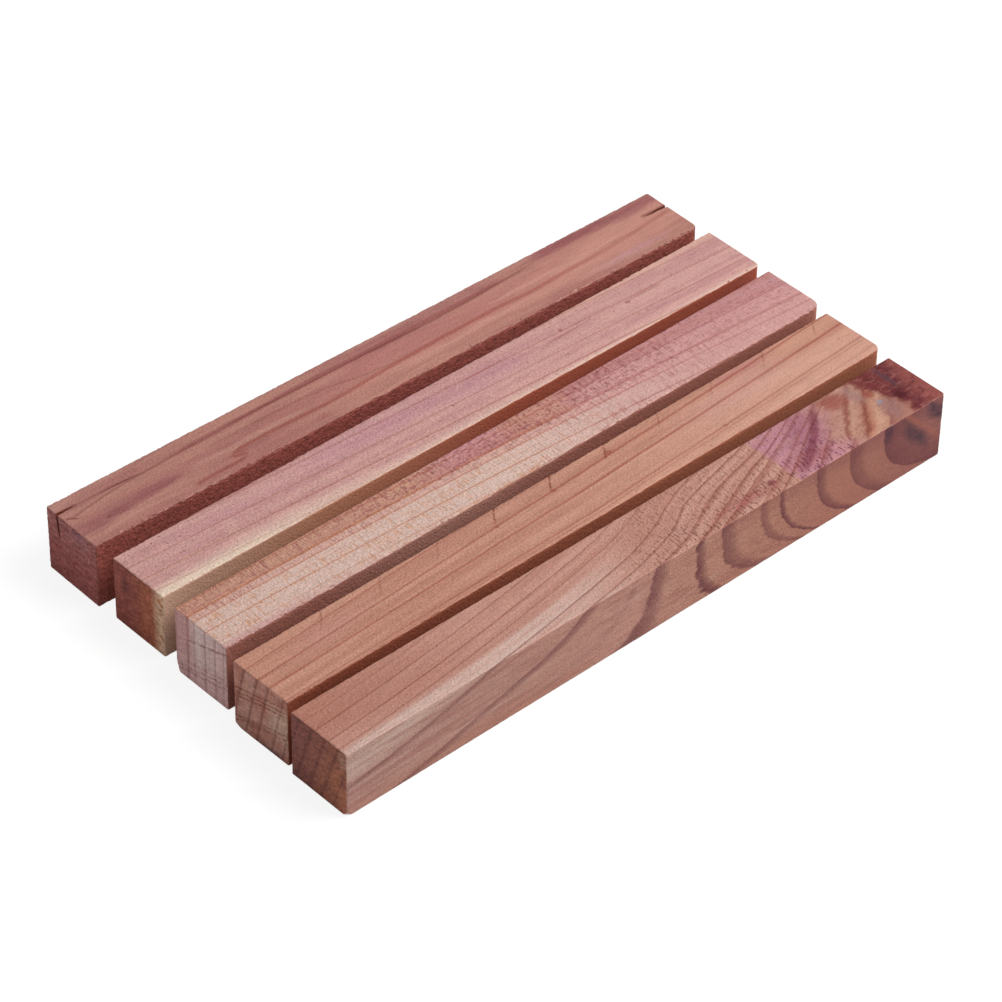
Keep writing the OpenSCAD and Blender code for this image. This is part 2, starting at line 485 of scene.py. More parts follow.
class Grain:
    """The coordinates of the wood in one block, in millimetres, and patterns that all woods share.

    along runs from the left end, across from the back face and deep from the top face. Each
    wood below calls them u, v and w.
    """

    def __init__(self, name, place, seed):
        self.material = bpy.data.materials.new(name)
        self.material.use_nodes = True
        self.tree = self.material.node_tree
        self.tree.nodes.clear()
        self.seed = seed
        source = self.tree.nodes.new("ShaderNodeTexCoord")
        mapping = self.tree.nodes.new("ShaderNodeMapping")
        mapping.vector_type = "TEXTURE"
        mapping.inputs["Location"].default_value = place.corner()
        mapping.inputs["Rotation"].default_value = (0, 0, place.turn)
        mapping.inputs["Scale"].default_value = (MM, -MM, -MM)
        self.tree.links.new(source.outputs["Object"], mapping.inputs["Vector"])
        self.along, self.across, self.deep = parts(Field(self.tree, mapping.outputs[0]))
        normal = parts(Field(self.tree, source.outputs["Normal"]))
        self.end = normal[0].size().fade(0.6, 0.9)
        self.top = normal[2].fade(0.6, 0.9)
        self.side = normal[1].size().fade(0.6, 0.9)
        self.ring = self.across

    def grow(self, rings, wander=0.5):
        """Sets the coordinate that is the same all along a growth ring, with a little wander."""
        slow = noise(self.spot(0.022, 0.06, 0.06), self.seed + 1) - 0.5
        fine = noise(self.spot(0.16, 0.4, 0.4), self.seed + 2, 3.0) - 0.5
        self.ring = rings + slow * (2 * wander) + fine * 0.3

    def spot(self, along, across, deep):
        """A place for a noise: how many of its cells there are per millimetre, each way."""
        return vector(self.along * along, self.across * across, self.deep * deep)

    def lines(self, marks):
        """Rings, as bands of late wood, some stretches stronger than others."""
        strength = 0.6 + noise(self.spot(0.03, 0.2, 0.2), self.seed + 3) * 0.8
        return bands(self.ring, marks) * strength

    def fibres(self):
        """Long fine fibres that follow the rings, about 0."""
        place = vector(self.along * 0.09, self.ring * 2.2, self.deep * 2.2)
        return noise(place, self.seed + 4, 4.0, 0.65) - 0.5

    def streaks(self, seed=5, long=0.014, wide=0.45):
        """Broad soft streaks along the grain, about 0."""
        place = vector(self.along * long, self.ring * wide, self.deep * wide)
        return noise(place, self.seed + seed, 3.0, 0.5) - 0.5

    def streaked(self, light, dark):
        """A colour that changes with the broad streaks."""
        return mix(self.streaks().fade(-0.14, 0.14), light, dark)

    def fuzz(self, seed=6, fine=1.6):
        """The short fuzz of a sawn surface, about 0, smoother towards the right end."""
        rough = noise(self.spot(fine, fine * 1.1, fine * 1.1), self.seed + seed, 1.5, 0.6) - 0.5
        return rough * (1.0 - self.along.fade(90, 200) * 0.5)

    def mottle(self, seed, fine=0.45):
        """Ragged blotches of all sizes, about 0."""
        return noise(self.spot(fine * 0.5, fine, fine), self.seed + seed, 4.0, 0.72) - 0.5

    def specks(self, seed, often, fine=1.0):
        """Scattered dark specks; often runs from 0 to 1."""
        level = 0.74 - 0.14 * often
        grains = noise(self.spot(fine, fine * 1.2, fine * 1.2), self.seed + seed, 1.0)
        return grains.fade(level, level + 0.06)

    def stroke(self, points, width, ends=2.5):
        """A line along the top face through given (along, across) points."""
        sway = (noise(self.spot(0.25, 0.2, 0.2), self.seed + 7) - 0.5) * 0.5
        middle = course(self.along, points)
        span = self.along.between(points[0][0] + ends / 2, points[-1][0] - ends / 2, ends / 2)
        return (self.across + sway - middle).size().fade(width, width * 0.2) * span * self.top

    def patch(self, along, across, length, width, slant=0.0):
        """A soft patch with ragged borders on the top face, about a place."""
        x = (self.along - along) / length
        y = (self.across - across - (self.along - along) * slant) / width
        ragged = (noise(self.spot(0.12, 0.8, 0.8), self.seed + 8, 3.0, 0.6) - 0.5) * 1.4
        return ((x * x + y * y).math("SQRT") + ragged).fade(1.1, 0.3) * self.top

    def cross_marks(self):
        """Saw marks straight across the top face, from 0 to 1."""
        pitch = 1.1
        near = vector(self.along * pitch, self.across * 0.16, self.seed)
        far = vector(self.along * pitch * 2.1, self.across * 0.4, self.seed)
        marks = noise(near, self.seed + 9, 2.0, 0.6) * 0.6 + noise(far, self.seed + 10, 1.0) * 0.4
        return marks.fade(0.45, 0.66) * self.top

    def kerf(self, slope, places, thick):
        """Saw lines across an end face, at given depths at its back edge, rising to the front."""
        height = self.deep + self.across * slope
        lines = []
        for depth in places:
            seed = self.seed + 11 + depth * 0.6
            sway = (noise(self.spot(0.1, 0.35, 0.35), seed, 5.0, 0.75) - 0.5) * 2.6
            broken = noise(self.spot(0.1, 0.8, 1.6), seed + 40, 4.0, 0.75).fade(0.42, 0.6)
            lines.append((height + sway).near(depth, thick) * broken)
        return strongest(*lines)

    def sawn_stripes(self, slope):
        """The faint rough stripes that a saw leaves across an end face, about 0."""
        place = vector(self.along * 0.1, self.across * 0.2, (self.deep + self.across * slope) * 0.9)
        return noise(place, self.seed + 14, 5.0, 0.75) - 0.5

    def finish(self, top, side, end, height):
        """Closes the material: a colour for each face and a height in millimetres for the relief."""
        colour = mix(self.end, mix(self.side, top, side), end)
        shader = self.tree.nodes.new("ShaderNodeBsdfPrincipled")
        feed(self.tree, shader.inputs["Base Color"], colour)
        shader.inputs["Roughness"].default_value = WOOD_ROUGHNESS
        shader.inputs["Specular IOR Level"].default_value = WOOD_SHINE
        bump = self.tree.nodes.new("ShaderNodeBump")
        bump.inputs["Distance"].default_value = MM
        feed(self.tree, bump.inputs["Height"], height)
        self.tree.links.new(bump.outputs[0], shader.inputs["Normal"])
        output = self.tree.nodes.new("ShaderNodeOutputMaterial")
        self.tree.links.new(shader.outputs[0], output.inputs["Surface"])
        return self.material


def dusty_heartwood(place):
    """The back block: flat sawn, red-brown, with purple streaks and rough sides."""
    g = Grain("dusty_heartwood", place, seed=10)
    u, v, w = g.along, g.across, g.deep
    g.grow(v * 0.35 + w, 1.2)
    grain = 1.0 + g.fibres() * 0.5 + g.fuzz() * 0.8 + g.mottle(27) * 0.2

    top = g.streaked(paint(180, 128, 115), paint(166, 111, 104))
    top = stain(top, g.streaks(21, 0.02, 0.8).fade(0.02, 0.18) * 0.6, 190, 142, 128)
    top = stain(top, u.fade(20, 0) * v.fade(6, 2) * 0.6, 186, 140, 126)
    purple = strongest(
        g.patch(20, 12.4, 19, 2.2, -0.05),
        g.patch(5, 14.0, 9, 3.2) * 0.8,
        g.patch(170, 2.0, 24, 2.2) * 1.2,
        g.patch(190, 2.9, 22, 2.4),
        g.patch(62, 14.4, 22, 1.6) * 0.35,
        g.patch(120, 2.0, 30, 1.6) * 0.6,
    )
    top = stain(top, (purple * 0.62).below(0.75), 138, 76, 82)
    deep_purple = g.patch(12, 13.0, 6, 1.2).above(g.patch(26, 12.0, 9, 1.0))
    top = stain(top, deep_purple * 0.25, 112, 58, 66)
    top = stain(top, g.patch(180, 16.6, 16, 1.6) * 0.5, 190, 138, 144)
    streak = g.stroke(((30, 4.9), (44, 4.6), (62, 4.3), (84, 3.9), (100, 4.2), (150, 3.8)), 1.3, 12.0)
    top = stain(top, streak * 0.6, 134, 68, 70)
    core = g.stroke(((50, 4.7), (64, 4.3), (76, 4.5), (100, 4.6), (116, 5.0)), 0.5, 8.0)
    top = stain(top, core * 0.5, 112, 52, 50)
    brown = g.stroke(((3, 4.4), (16, 4.6), (22, 4.9), (27, 5.2), (33, 5.0), (44, 4.5)), 0.5)
    brown = strongest(
        brown * (0.45 + u.near(20, 9) * 0.55),
        g.stroke(((1, 8.3), (8, 6.9), (20, 5.6), (34, 5.2)), 0.6) * 0.5,
        g.stroke(((40, 7.9), (66, 7.9), (79, 8.5), (92, 10.9), (106, 12.4)), 0.6, 8.0) * 0.35,
        g.stroke(((96, 4.6), (113, 5.0), (127, 4.9), (140, 4.3), (158, 3.6)), 0.7, 8.0) * 0.6,
    )
    top = stain(top, brown * 0.75, 110, 58, 46)
    red = g.stroke(((46.5, 14.9), (49, 13.8), (52, 13.3), (66, 13.3), (79, 13.8), (92, 13.1), (113, 12.2),
                    (137, 11.9), (147, 12.3), (160, 11.9), (177, 11.4), (190, 10.3), (200, 9.2)), 1.1)
    red = strongest(
        red * (1.0 - u.fade(110, 190) * 0.5),
        g.stroke(((32, 18.0), (39, 17.2), (46, 17.2), (50.5, 16.1)), 0.9),
        g.stroke(((46, 14.4), (48, 15.3), (51, 16.2)), 0.8, 1.0),
        g.patch(49, 14.6, 4, 1.3) * 0.5,
        g.patch(74, 17.2, 3, 1.2) * 0.4,
    )
    top = stain(top, red * 0.62, 142, 70, 60)
    # Painted light: the top is made lighter from 60 mm on, between the back and front strips, as light falls
    # from the right, and a little darker at the right end towards the front
    bright = u.fade(60, 100) * v.between(5, 16, 3) * 0.15
    top = shade(top, grain + bright - u.fade(160, 200) * v.fade(4, 14) * 0.07)
    torn = strongest(
        v.fade(18.4, 20.0) * g.specks(22, 0.9, 0.7),
        g.stroke(((0.5, 7.4), (2.0, 7.9), (3.8, 9.6)), 0.5, 0.8),
        g.patch(9.5, 13.2, 0.8, 0.6) * 0.7,
    )
    top = stain(top, torn * 0.7, 116, 50, 42)
    slivers = v.fade(17.6, 19.4) * g.specks(28, 0.5, 0.8)
    top = stain(top, slivers * 0.6, 214, 164, 142)
    lips = strongest(
        g.stroke(((-3, 4.3), (2, 4.3), (6.5, 4.5)), 0.8, 1.5),
        g.stroke(((190.5, 7.2), (196, 7.2), (203, 7.3)), 0.9, 2.0),
    )
    top = stain(top, lips * 0.6, 104, 48, 38)

    side = mix(g.mottle(23, 0.9).fade(-0.04, 0.16), paint(166, 92, 82), paint(134, 68, 62))
    side = shade(side, 1.0 + g.fuzz(24) * 1.4 - u.fade(50, 5) * 0.08)
    # Painted shade: the walls of the drying cracks, inside the block, are darkened where shade falls in the
    # crack
    painted_crack_shade = v.between(1.2, 18.6, 0.3)
    side = stain(side, painted_crack_shade, 122, 64, 50)
    end = mix(w.fade(2.0, 12.0), paint(178, 118, 112), paint(168, 99, 94))
    end = stain(end, g.mottle(29, 0.35).fade(-0.12, 0.14) * 0.6, 148, 78, 76)
    end = mix(g.lines(((-4, 1.4, 0.5), (0, 1.4, 0.5), (4.4, 1.8, 0.6), (9, 1.6, 0.5), (13.5, 1.8, 0.6),
                       (18, 1.4, 0.5), (22, 1.5, 0.5))) * 0.4, end, paint(122, 62, 64))
    greyed = v.between(10.5, 15.5, 1.5) * w.fade(6, 1)
    end = stain(end, greyed * 0.5, 144, 98, 112)
    tears = strongest(
        g.specks(25, 0.9, 0.8),
        v.near(7.8, 0.8) * w.between(15.4, 17.6, 0.4),
        v.near(4.9, 1.1) * w.between(0.0, 8.5, 1.0) * 0.6,
    )
    end = stain(end, tears * 0.65, 112, 44, 40)
    end = shade(end, 1.01 + g.fuzz(26, 1.0) * 1.2 + g.sawn_stripes(0.12) * 2.0 + g.mottle(30, 0.8) * 0.6)
    pits = g.side * noise(g.spot(1.0, 1.0, 1.4), 12, 4.0, 0.7)
    height = g.fibres() * 0.12 + g.fuzz() * 0.25 + pits * 0.5 - brown * 0.15
    height = height + g.end * (g.sawn_stripes(0.12) * 0.5 - tears * 0.2)
    return g.finish(top, side, end, height)


def pink_heartwood(place):
    """The rear middle block: pink, with a cream sapwood edge that runs out to the right."""
    g = Grain("pink_heartwood", place, seed=20)
    u, v, w = g.along, g.across, g.deep
    g.grow(v + w * 0.12 - u * 0.045, 0.35)
    lines = g.lines(((-10.4, -0.5, 0.5), (-5.6, -0.6, 0.7), (-0.4, -0.5, 0.8), (5.8, -0.6, 0.8),
                     (11.4, -0.6, 1.0), (16.6, -0.6, 0.6)))
    grain = 1.0 + g.fibres() * 0.25 + g.fuzz() * 1.1 + g.mottle(36) * 0.3

    top = g.streaked(paint(202, 155, 148), paint(188, 138, 136))
    top = stain(top, g.mottle(27, 0.25).fade(0.0, 0.16) * 0.4, 212, 170, 154)
    mauve = strongest(
        g.patch(78, 5.0, 34, 5.5, 0.04) * 0.8,
        g.patch(112, 7.5, 22, 5.0) * 0.7,
        g.patch(30, 6.0, 30, 4.0) * 0.4,
    )
    top = stain(top, mauve * 0.55, 186, 134, 147)
    sap = strongest(
        v.fade(13.8, 18.6) * u.fade(95.0, 15.0),
        v.fade(17.6, 19.4) * 0.6,
        v.fade(15.4, 19.0) * u.fade(160, 90) * 0.4,
    )
    top = stain(top, sap * 0.9, 222, 200, 180)
    peach = v.fade(2.6, 0.4) * u.fade(134, 152)
    top = stain(top, peach * 0.6, 216, 172, 152)
    top = mix(lines * 0.65, top, mix(u.fade(90, 130), paint(160, 104, 76), paint(160, 98, 88)))
    top = shade(top, grain + v.fade(12, 18) * 0.05)
    torn = strongest(
        v.fade(1.2, 0.2) * u.between(36, 60, 4) * g.mottle(37, 0.8).fade(-0.1, 0.05),
        g.patch(141.5, 5.4, 1.0, 0.8),
        g.patch(162.8, 8.0, 1.0, 0.6),
        g.patch(115, 4.6, 9, 0.5) * 0.5,
        g.patch(143, 7.2, 9, 0.5) * 0.6,
        g.patch(169, 7.6, 7, 0.9) * 0.5,
        g.specks(28, 0.35),
    )
    top = stain(top, torn * 0.65, 150, 74, 72)

    side = tones(u, (
        (0, paint(212, 174, 150)), (50, paint(194, 136, 108)), (110, paint(176, 94, 72)),
        (200, paint(166, 86, 68)),
    ))
    side = shade(side, 0.97 + g.fuzz(29) * 0.8)
    end = mix(v.fade(6.0, 14.0), paint(156, 88, 77), paint(174, 102, 76))
    end = stain(end, g.mottle(31, 0.35).fade(-0.06, 0.16) * 0.65, 124, 62, 60)
    end = stain(end, g.mottle(38, 0.5).fade(0.06, 0.2) * 0.5, 196, 118, 82)
    dark = v.near(4.6, 1.8) * w.between(3.4, 8, 1.5)
    end = stain(end, dark * 0.65, 90, 46, 50)
    wave = (noise(g.spot(0.1, 0.1, 0.25), 32, 3.0) - 0.5) * 2.6
    end = stain(end, (v + wave).fade(14.4, 18.4), 224, 184, 154)
    tears = v.fade(16.2, 18.4) * noise(g.spot(0.1, 0.35, 0.6), 33, 3.0).fade(0.5, 0.58)
    end = stain(end, tears * 0.8, 176, 106, 66)
    end = shade(end, 1.0 + g.fuzz(34, 1.0) * 1.2 + g.sawn_stripes(0.25) * 2.0 + g.mottle(39, 0.8) * 0.6)
    height = g.fibres() * 0.06 + g.fuzz() * 0.25 - torn * 0.15
    height = height + g.end * (g.sawn_stripes(0.25) * 0.5 - tears * 0.2)
    return g.finish(top, side, end, height)


def striped_sapwood(place):
    """The middle block: a pale stripe between pink-brown wood, with saw marks across it."""
    g = Grain("striped_sapwood", place, seed=30)
    u, v, w = g.along, g.across, g.deep
    drift = (u / 100).above(0.0) ** 1.9 * 1.55
    g.grow((v + w * 0.02 - drift) / (1.0 + drift * 0.07), 0.25)
    lines = g.lines(((-3.4, -0.6, 0.6), (0.9, -0.6, 0.8), (5.0, -0.8, 1.0), (7.4, -0.5, 0.8),
                     (9.6, -0.3, 0.3), (12.1, -0.5, 0.9), (16.6, -0.5, 0.6)))
    marks = g.cross_marks()
    grain = 1.0 + g.fibres() * 0.2 + g.fuzz() * 1.1 + g.mottle(35) * 0.3

    orange, mauve = paint(195, 147, 126), paint(194, 138, 139)
    tan, rose = paint(194, 141, 126), paint(190, 136, 136)
    back = tones(u, (
        (0, orange), (72, orange), (88, mauve), (99, mauve), (106, tan), (119, tan),
        (130, rose), (160, rose), (200, paint(192, 142, 144)),
    ))
    back = stain(back, g.streaks(36).fade(-0.06, 0.14) * 0.6, 184, 126, 116)
    border = g.ring + g.fuzz(38, 0.6) * 1.2
    back = stain(back, border.fade(0.6, 1.2) * u.fade(118, 134), 200, 149, 146)
    pink = mix(u.fade(90, 150), paint(208, 166, 153), paint(204, 154, 149))
    cream = mix(u.fade(90, 175), paint(210, 181, 170), paint(200, 151, 147))
    cream = stain(cream, g.mottle(37, 0.3).fade(-0.02, 0.16) * 0.5, 208, 167, 155)
    top = mix(border.fade(4.9, 5.4), back, pink)
    top = mix(border.fade(7.2, 7.8), top, cream)
    top = stain(top, v.fade(16.8, 18.6) * u.fade(60, 5) * 0.8, 194, 150, 148)
    ragged = u.between(52, 108, 6) * v.fade(17.6, 19.0) * g.mottle(46, 0.5).fade(-0.06, 0.1)
    top = stain(top, ragged * 0.7, 186, 128, 100)
    ringed = mix(u.fade(105, 150), paint(176, 108, 76), paint(160, 92, 92))
    top = mix(lines * (0.8 - u.fade(110, 160) * 0.25), top, ringed)
    fading = 0.35 + u.fade(200, 140) * 0.65
    strength = (0.3 + noise(g.spot(0.05, 0.3, 0.3), 39, 2.0).fade(0.36, 0.66) * 0.7) * fading
    ochre = mix(u.fade(90, 140), paint(202, 140, 100), paint(180, 118, 112))
    ochre = mix(g.ring.fade(7.0, 8.0), paint(146, 82, 80), ochre)
    top = mix(marks * strength * 0.8, top, ochre)
    dashes = g.ring.fade(7.4, 5.0) * noise(g.spot(0.55, 1.2, 1.2), 41, 3.0).fade(0.5, 0.64) * g.top
    dashes = dashes * (0.5 + u.between(58, 150, 20) * 0.5)
    top = stain(top, dashes * 0.6, 136, 68, 74)
    spots = g.ring.near(12.1, 1.6) * g.specks(47, 0.9, 0.7) * u.fade(130, 60)
    top = stain(top, spots * 0.7, 196, 130, 80)
    top = shade(top, grain)
    slivers = v.fade(16.8, 19.0) * g.specks(48, 0.7, 0.9) * u.fade(50, 70)
    top = stain(top, slivers * 0.6, 236, 208, 190)
    broken = v.fade(18.2, 19.2) * u.between(62, 170, 8) * g.specks(50, 0.9, 0.6)
    top = stain(top, broken * 0.7, 136, 78, 62)

    side = mix(u.near(70, 50), paint(168, 108, 94), paint(180, 128, 114))
    side = shade(side, 0.94 + g.fuzz(42) * 0.8 + g.fibres() * 0.3)
    end = tones(v, (
        (0, paint(206, 158, 154)), (5.2, paint(206, 160, 156)), (8, paint(222, 195, 189)),
        (14, paint(222, 190, 186)), (19.5, paint(214, 178, 172)),
    ))
    end = stain(end, w.fade(10, 17) * 0.85, 232, 188, 186)
    end = stain(end, g.mottle(49, 0.4).fade(-0.04, 0.18) * 0.4, 188, 143, 143)
    growth = bands(v + w * 0.02 + g.fuzz(43, 0.3) * 0.9,
                   ((1.0, -0.9, 0.6), (5.3, -1.1, 0.9), (7.8, -0.8, 0.6), (11.8, -0.9, 0.7),
                    (15.5, -0.9, 0.7), (18.5, -0.8, 0.6)))
    end = stain(end, growth * 0.65, 150, 92, 88)
    saw = g.kerf(0.33, (8.8,), 0.45).above(g.kerf(0.26, (15.8, 17.2, 18.6), 0.6) * 0.7)
    end = stain(end, saw * 0.75, 160, 92, 84)
    end = shade(end, 1.03 + g.fuzz(44, 1.0) * 0.9 + g.sawn_stripes(0.3) * 1.0 + g.mottle(51, 0.8) * 0.5)
    height = g.fibres() * 0.05 + g.fuzz() * 0.3 - marks * strength * 0.14
    height = height + g.end * (g.sawn_stripes(0.3) * 0.4 - saw * 0.2)
    return g.finish(top, side, end, height)


def tan_heartwood(place):
    """The front middle block: orange-tan, with straight rings and slanted tooth marks at the back."""
    g = Grain("tan_heartwood", place, seed=40)
    u, v, w = g.along, g.across, g.deep
    drift = course(u, ((0, 0), (50, 3.25), (100, 6.5), (150, 8.7), (200, 11.0)))
    spread = 1.0 + (u / 100).above(0.0).below(1.0) * 0.27
    g.grow((v + w * 0.24 + drift) / spread, 0.2)
    lines = g.lines(((-4.5, -0.6, 0.5), (0.2, -0.6, 0.6), (4.6, -0.6, 0.7), (9.3, -0.6, 1.0),
                     (13.3, -0.7, 1.0), (19.0, -0.5, 0.7), (19.9, -0.5, 0.4), (22.6, -0.5, 0.4),
                     (26.5, -0.5, 0.5)))
    grain = 1.0 + g.fibres() * 0.45 + g.fuzz() * 0.9 + g.mottle(56) * 0.3

    top = g.streaked(paint(193, 142, 122), paint(180, 127, 109))
    top = stain(top, g.streaks(46, 0.01, 0.2).fade(0.02, 0.16) * 0.5, 202, 154, 137)
    top = stain(top, u.fade(60, 200) * v.fade(4, 12) * 0.5, 210, 164, 146)
    top = stain(top, g.patch(24, 7.0, 16, 4.0, -0.1) * 0.35, 190, 134, 126)
    top = stain(top, g.patch(160, 7.5, 26, 5.0) * 0.5, 200, 152, 142)
    top = stain(top, g.patch(167, 2.0, 14, 2.0) * 0.7, 180, 122, 116)
    top = stain(top, lines * 0.75, 150, 78, 62)
    # The saw's teeth touched the back edge at every 18.6 mm
    tooth, first = 18.6, 8.6
    round_saw = (u + v * 0.78 - first) / tooth + 0.5
    phase = (round_saw.math("FRACT") - 0.5) * tooth + g.mottle(57, 0.8) * 1.6
    number = round_saw.math("FLOOR")
    strong = 0.2 + noise(vector(number * 2.3, 0.0, 0.0), 45) * 0.5 + u.between(78, 126, 4) * 0.45
    reach = 3.4 + noise(vector(number * 3.7, 0.0, 0.0), 47) * 4.5
    teeth = phase.size().fade(0.6, 0.1) * v.fade(reach, reach - 2.0) * u.fade(14, 18) * g.top
    teeth = teeth * strong * (0.3 + noise(g.spot(0.9, 0.9, 0.9), 48, 2.0).fade(0.35, 0.6) * 0.7)
    top = stain(top, teeth * 0.9, 136, 70, 54)
    top = shade(top, grain)
    torn = strongest(
        g.specks(49, 0.3),
        g.patch(118.7, 3.6, 1.2, 1.1),
        g.patch(148, 15.4, 1.0, 0.7) * 0.8,
        g.patch(79, 5.9, 1.0, 0.7),
        g.patch(98.6, 5.2, 1.0, 0.9),
    )
    top = stain(top, torn * 0.6, 142, 72, 60)

    side = mix(u.fade(0, 200), paint(145, 78, 58), paint(171, 104, 79))
    side = shade(side, 0.93 + g.fuzz(51) * 0.8)
    end = mix(g.streaks(52, 0.1, 0.2).fade(-0.1, 0.14), paint(196, 145, 130), paint(186, 126, 111))
    end = stain(end, v.fade(11, 16) * w.between(4, 14, 2) * 0.7, 212, 176, 156)
    end = stain(end, g.mottle(58, 0.4).fade(-0.02, 0.18) * 0.5, 160, 104, 92)
    grown = bands(g.ring, ((-4.5, -0.9, 0.6), (0.2, -0.9, 0.7), (4.6, -1.1, 0.9), (9.3, -1.1, 0.9),
                           (13.3, -1.1, 0.9), (18.6, -1.0, 0.7), (22.4, -0.8, 0.7)))
    end = stain(end, grown * 0.7, 112, 62, 58)
    saw = g.kerf(0.28, (7.8, 9.2, 10.4), 0.6).above(g.kerf(0.3, (16.8, 18.0), 0.6))
    end = stain(end, saw * 0.75, 170, 90, 62)
    end = stain(end, w.fade(17.5, 20.0) * v.between(9.5, 17, 2) * 0.8, 108, 72, 74)
    end = shade(end, 1.01 + g.fuzz(53, 1.0) * 1.0 + g.sawn_stripes(0.28) * 1.4 + g.mottle(59, 0.8) * 0.5)
    height = g.fibres() * 0.06 + g.fuzz() * 0.25 - teeth * 0.14
    height = height + g.end * (g.sawn_stripes(0.28) * 0.4 - saw * 0.2)
    return g.finish(top, side, end, height)


